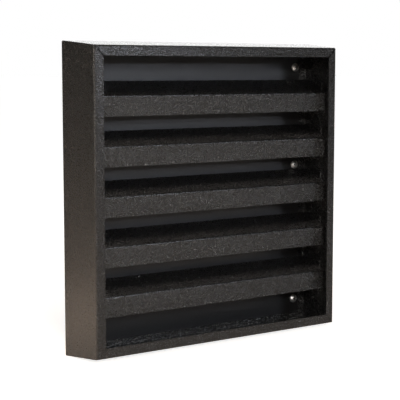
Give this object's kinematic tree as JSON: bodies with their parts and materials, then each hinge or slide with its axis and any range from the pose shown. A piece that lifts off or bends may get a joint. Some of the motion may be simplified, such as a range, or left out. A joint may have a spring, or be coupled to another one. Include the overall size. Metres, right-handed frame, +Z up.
{
  "type": "wall vent grille",
  "caption": "Square wall vent grille of black sheet steel: a mitred frame that widens to the wall, folded louvre blades and a slotted back plate.",
  "frame": {"origin": "centre of the back face that lies on the wall, in the middle of the corner screws", "axes": "+Z up, front faces -Y, +X to the right as seen from the front"},
  "size_m": [0.3096, 0.0839, 0.3096],
  "materials": {
    "frame_coat": "fine-textured black powder coat",
    "blade_coat": "fine-textured black powder coat",
    "plate_coat": "fine-textured black powder coat",
    "screw_zinc": "bright zinc plate"
  },
  "bodies": {
    "root": {"frame_top": "frame_coat", "frame_bottom": "frame_coat", "frame_left": "frame_coat", "frame_right": "frame_coat", "louvre_blade_1": "blade_coat", "louvre_blade_2": "blade_coat", "louvre_blade_3": "blade_coat", "louvre_blade_4": "blade_coat", "louvre_blade_5": "blade_coat", "back_plate": "plate_coat", "wall_screws": "screw_zinc"}
  },
  "joints": []
}
